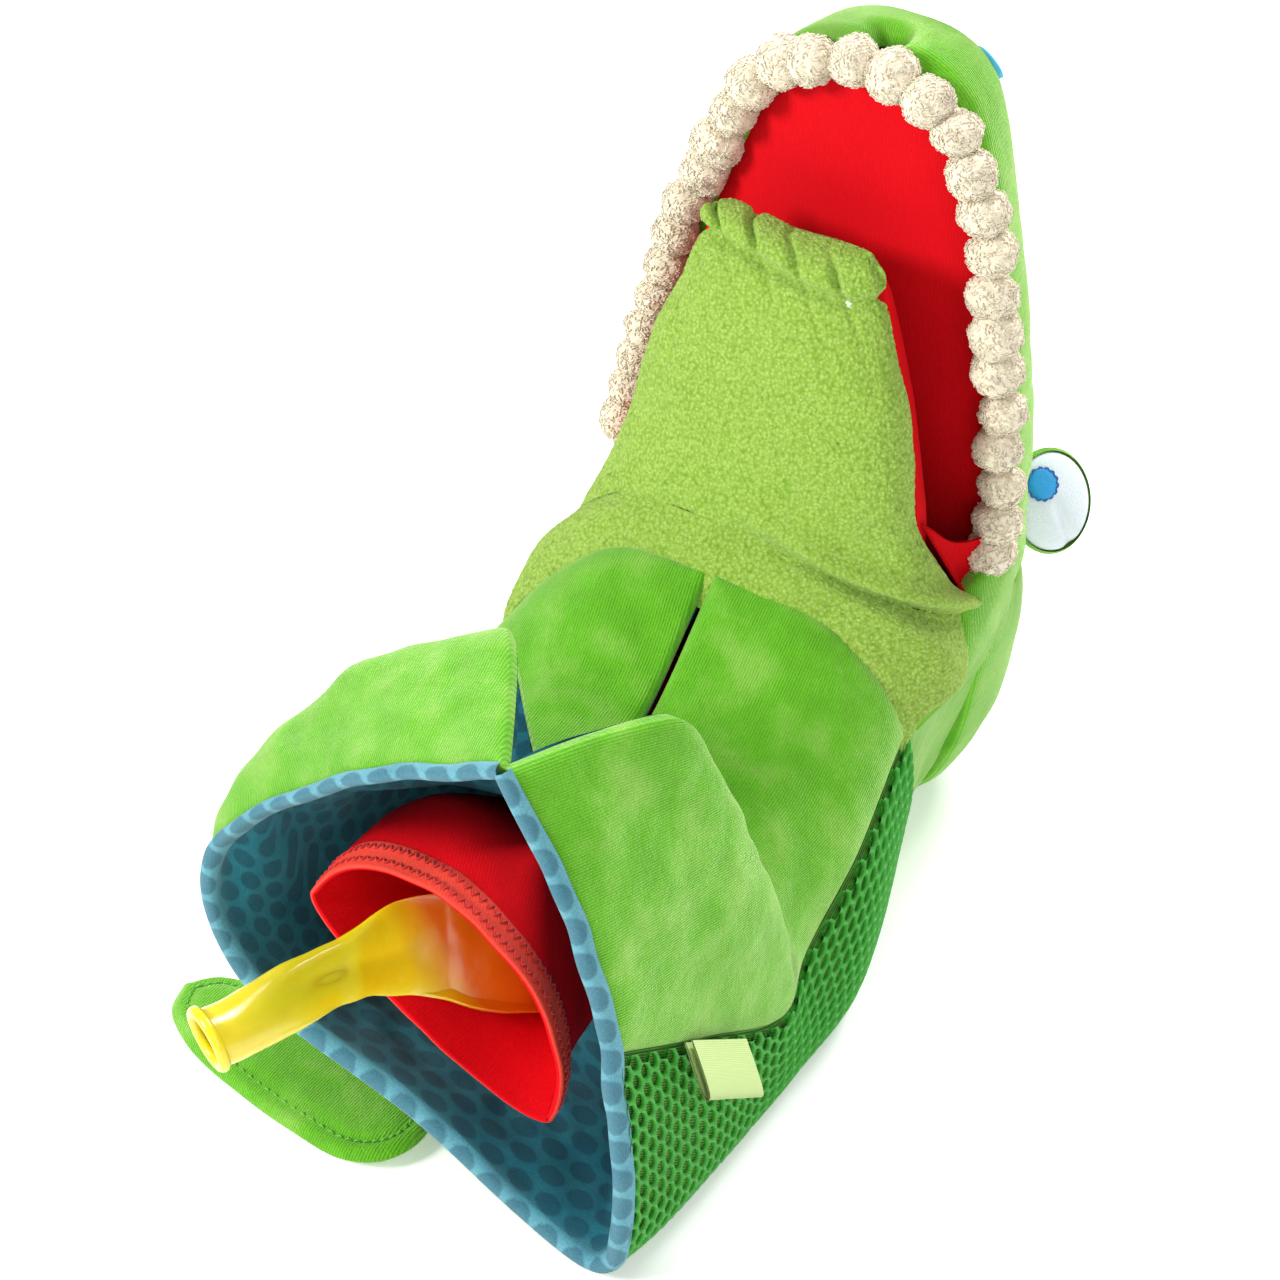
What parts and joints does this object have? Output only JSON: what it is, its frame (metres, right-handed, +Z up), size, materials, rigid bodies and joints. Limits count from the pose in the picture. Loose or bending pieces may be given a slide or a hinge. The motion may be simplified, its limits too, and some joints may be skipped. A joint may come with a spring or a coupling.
{
  "type": "moving mouth glove puppet",
  "caption": "Crocodile glove puppet on its back: hinged upper and lower jaw, split belly, mesh back, gullet sleeve with a balloon, and a swinging tail.",
  "frame": {"origin": "on the floor, on the flat of the glove's back, under the middle of the body", "axes": "+X to the right seen over the glove opening, +Y from the glove opening to the head, +Z up from the floor to the tip of the upper jaw"},
  "size_m": [0.1852, 0.3311, 0.2648],
  "materials": {
    "velour": "short nap velour with a fine rib",
    "fleece": "curly lime fleece",
    "spacer_mesh": "honeycomb spacer mesh",
    "rib_cloth": "ribbed backing cloth",
    "dotted_jersey": "blue jersey with darker dots",
    "red_jersey": "smooth red jersey",
    "pocket_cloth": "plain lining cloth",
    "filling": "polyester filling",
    "chenille": "cream pompom trim",
    "white_felt": "smooth white plush",
    "blue_thread": "blue satin stitch",
    "light_blue_felt": "light blue plush",
    "ribbon": "plain woven ribbon",
    "latex": "glossy latex"
  },
  "bodies": {
    "glove": {"belly_panel_right": "velour", "belly_panel_left": "velour", "side_panel_left": "velour", "back_mesh_panel": "spacer_mesh", "back_backing": "rib_cloth", "glove_lining": "dotted_jersey", "neck_panel": "velour", "throat_collar": "fleece", "gullet_sleeve": "red_jersey", "sleeve_hem": "red_jersey", "woven_label": "ribbon"},
    "head": {"nape_panel": "velour", "cheek_right": "velour", "crown_panel": "velour", "cheek_left": "velour", "snout_shell": "velour", "upper_jaw_filling": "filling", "finger_pocket": "pocket_cloth", "palate": "red_jersey", "tooth_strip": "chenille", "eye_back_right": "velour", "eye_white_right": "white_felt", "iris_right": "blue_thread", "nostril_right": "light_blue_felt", "eye_back_left": "velour", "eye_white_left": "white_felt", "iris_left": "blue_thread", "nostril_left": "light_blue_felt"},
    "lower_jaw": {"chin_shell": "fleece", "lower_jaw_filling": "filling", "thumb_pocket": "pocket_cloth", "mouth_floor": "red_jersey"},
    "tail": {"tail": "velour"},
    "balloon": {"balloon": "latex"}
  },
  "joints": [
    {"name": "neck_bend", "type": "hinge", "parent": "glove", "child": "head", "pos_m": [0, 0.095, 0.05], "axis": [1, 0, 0], "range_deg": [-15, 5]},
    {"name": "jaw_open", "type": "hinge", "parent": "head", "child": "lower_jaw", "pos_m": [0, 0.09, 0.108], "axis": [1, 0, 0], "range_deg": [-6, 25]},
    {"name": "tail_swing", "type": "hinge", "parent": "glove", "child": "tail", "pos_m": [-0.014, -0.101, 0.004], "axis": [0, 0, 1], "range_deg": [-5, 75]},
    {"name": "balloon_slide", "type": "slide", "parent": "glove", "child": "balloon", "axis": [-0.3552, -0.9075, 0.2241], "range_m": [0, 0.075]}
  ]
}
